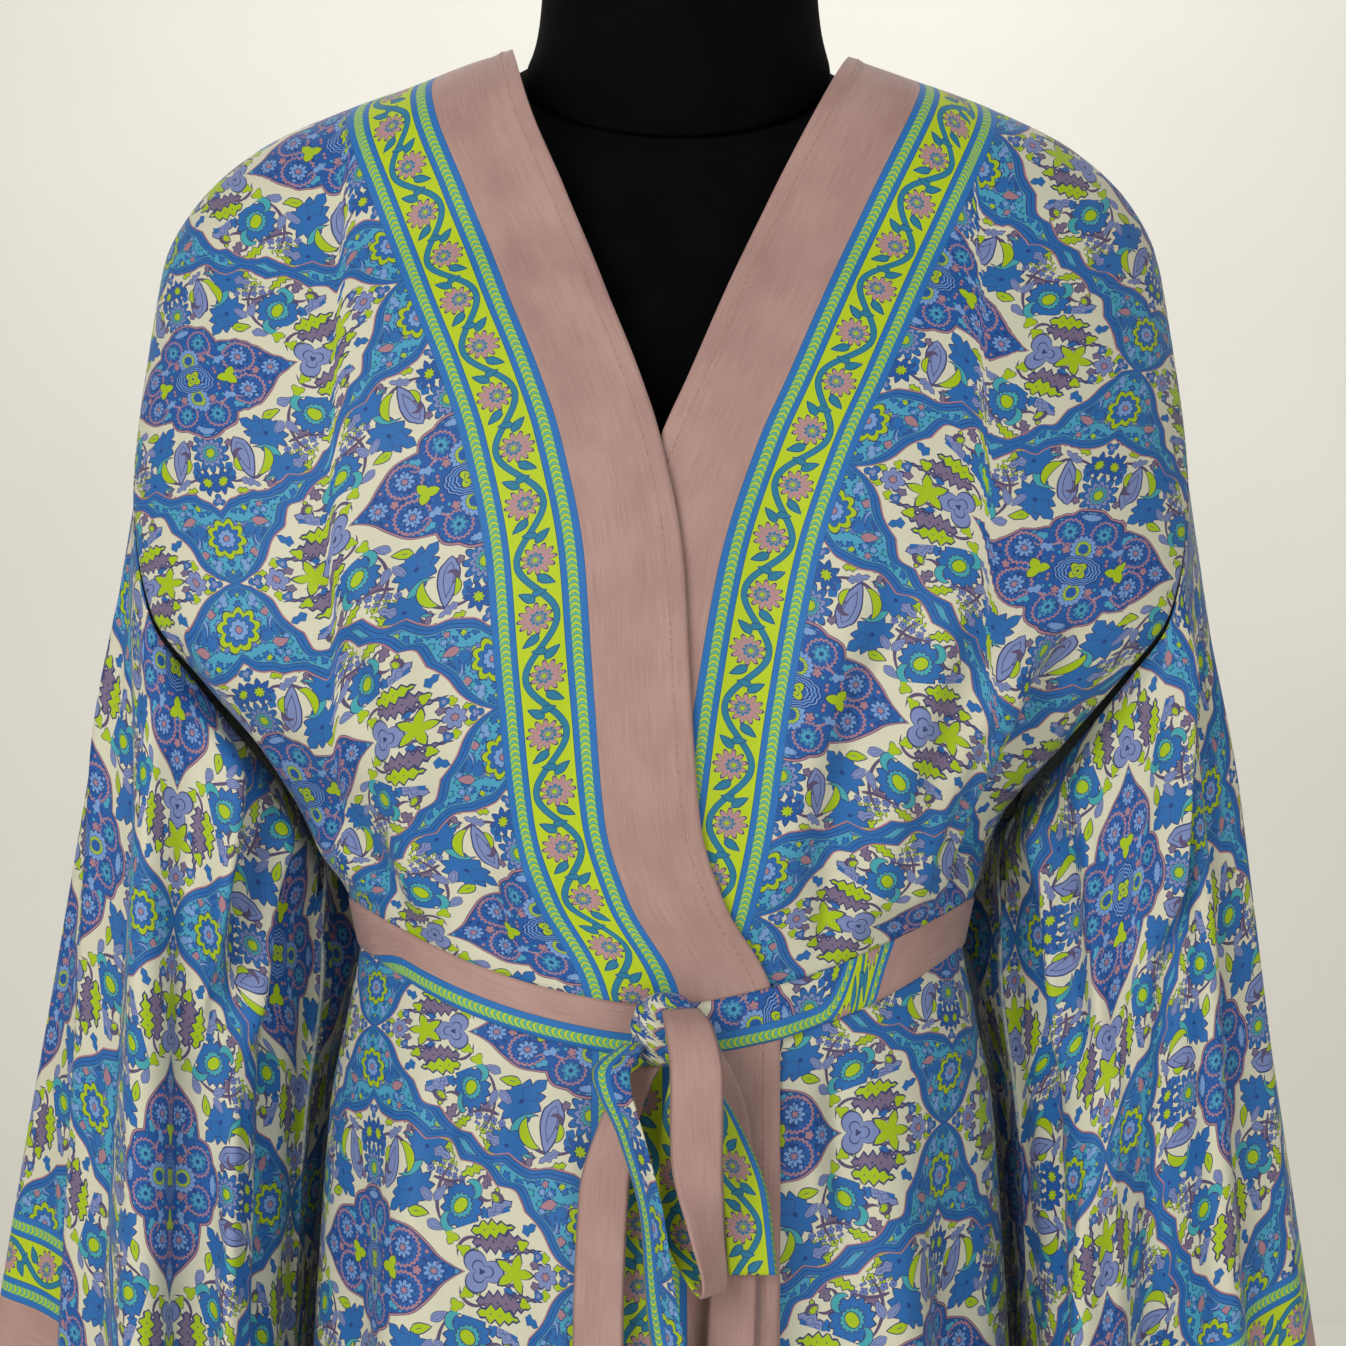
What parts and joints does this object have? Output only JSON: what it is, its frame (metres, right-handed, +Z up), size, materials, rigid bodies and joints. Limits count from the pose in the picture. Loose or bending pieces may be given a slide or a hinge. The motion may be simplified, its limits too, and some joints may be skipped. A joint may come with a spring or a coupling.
{
  "type": "kimono robe on a limbless dress form",
  "caption": "Long wrap kimono robe of printed cloth with wide hanging sleeves and a tied belt, worn on a black limbless dress form on a pole stand.",
  "frame": {"origin": "centre of the stand's footprint on the floor, under the pole", "axes": "+Z up, the front of the robe faces -Y, the wearer's left is +X"},
  "size_m": [0.5835, 0.312, 1.4843],
  "materials": {
    "printed_cloth": "soft satin, blue, lime and cream print",
    "belt_cloth": "soft satin, dusty rose on one face and print on the other",
    "form_cover": "matte black knit cover",
    "cap_enamel": "satin black",
    "stand_metal": "satin black"
  },
  "bodies": {
    "root": {"back": "printed_cloth", "front_wearers_right": "printed_cloth", "front_wearers_left": "printed_cloth", "sleeve_wearers_right": "printed_cloth", "sleeve_wearers_left": "printed_cloth", "belt_waist": "belt_cloth", "belt_knot": "belt_cloth", "belt_loop_front": "belt_cloth", "belt_loop_side": "belt_cloth", "belt_tail_short": "belt_cloth", "belt_tail_long": "belt_cloth", "form_torso": "form_cover", "form_neck": "form_cover", "form_cap": "cap_enamel", "stand_pole": "stand_metal", "stand_base": "stand_metal"}
  },
  "joints": []
}
